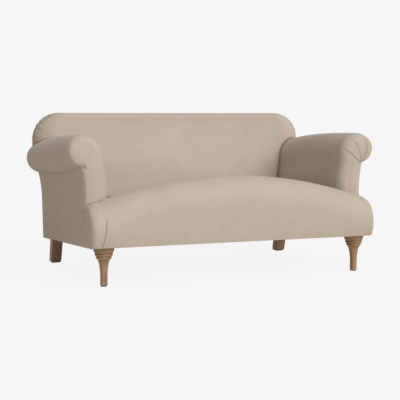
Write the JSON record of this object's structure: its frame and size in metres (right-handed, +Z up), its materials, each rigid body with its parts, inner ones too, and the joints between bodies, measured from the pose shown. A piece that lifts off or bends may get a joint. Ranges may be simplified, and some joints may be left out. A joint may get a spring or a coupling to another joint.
{
  "type": "english roll arm sofa",
  "caption": "Compact upholstered sofa with low scrolled roll arms, a tight domed seat, a tight raked back, turned front legs and square splayed rear legs.",
  "frame": {"origin": "on the floor under the middle of the sofa's width and depth", "axes": "+X to the right as seen from the front, +Y to the rear, +Z up; the seat faces -Y"},
  "size_m": [1.652, 1.01, 0.81],
  "materials": {
    "fabric": "plain woven linen look, pale warm beige, matte",
    "foam": "cut foam and fibre wadding",
    "frame_wood": "sawn and planed, unfinished",
    "leg_wood": "turned hardwood, light walnut stain, satin",
    "steel": "drawn wire and plated bolts",
    "webbing": "woven jute",
    "hessian": "coarse jute cloth",
    "dust_cloth": "thin black cloth",
    "felt": "pressed felt"
  },
  "bodies": {
    "root": {"front_rail": "frame_wood", "rear_rail": "frame_wood", "side_rail_left": "frame_wood", "side_rail_right": "frame_wood", "seat_centre_brace": "frame_wood", "corner_block_front_left": "frame_wood", "corner_block_front_right": "frame_wood", "corner_block_rear_left": "frame_wood", "corner_block_rear_right": "frame_wood", "back_post_left": "frame_wood", "back_post_right": "frame_wood", "back_top_rail": "frame_wood", "back_tie_rail": "frame_wood", "arm_scroll_board_left": "frame_wood", "arm_scroll_board_right": "frame_wood", "arm_rail_left": "frame_wood", "arm_rail_right": "frame_wood", "arm_tie_rail_left": "frame_wood", "arm_tie_rail_right": "frame_wood", "leg_bolt_front_left": "steel", "leg_bolt_front_right": "steel", "leg_screw_rear_left": "steel", "leg_screw_rear_right": "steel", "seat_spring_1": "steel", "seat_spring_2": "steel", "seat_spring_3": "steel", "seat_spring_4": "steel", "seat_spring_5": "steel", "seat_spring_6": "steel", "seat_spring_7": "steel", "back_webbing_1": "webbing", "back_webbing_2": "webbing", "back_webbing_3": "webbing", "back_webbing_4": "webbing", "back_webbing_5": "webbing", "spring_hessian": "hessian", "dust_cover": "dust_cloth", "seat_foam": "foam", "back_foam": "foam", "arm_pad_left": "foam", "arm_pad_right": "foam", "seat_cover": "fabric", "back_cover": "fabric", "arm_cover_left": "fabric", "arm_cover_right": "fabric", "outside_arm_left": "fabric", "outside_arm_right": "fabric", "outside_back": "fabric", "leg_front_left": "leg_wood", "leg_front_right": "leg_wood", "leg_rear_left": "leg_wood", "leg_rear_right": "leg_wood", "glide_front_left": "felt", "glide_front_right": "felt", "glide_rear_left": "felt", "glide_rear_right": "felt"}
  },
  "joints": []
}
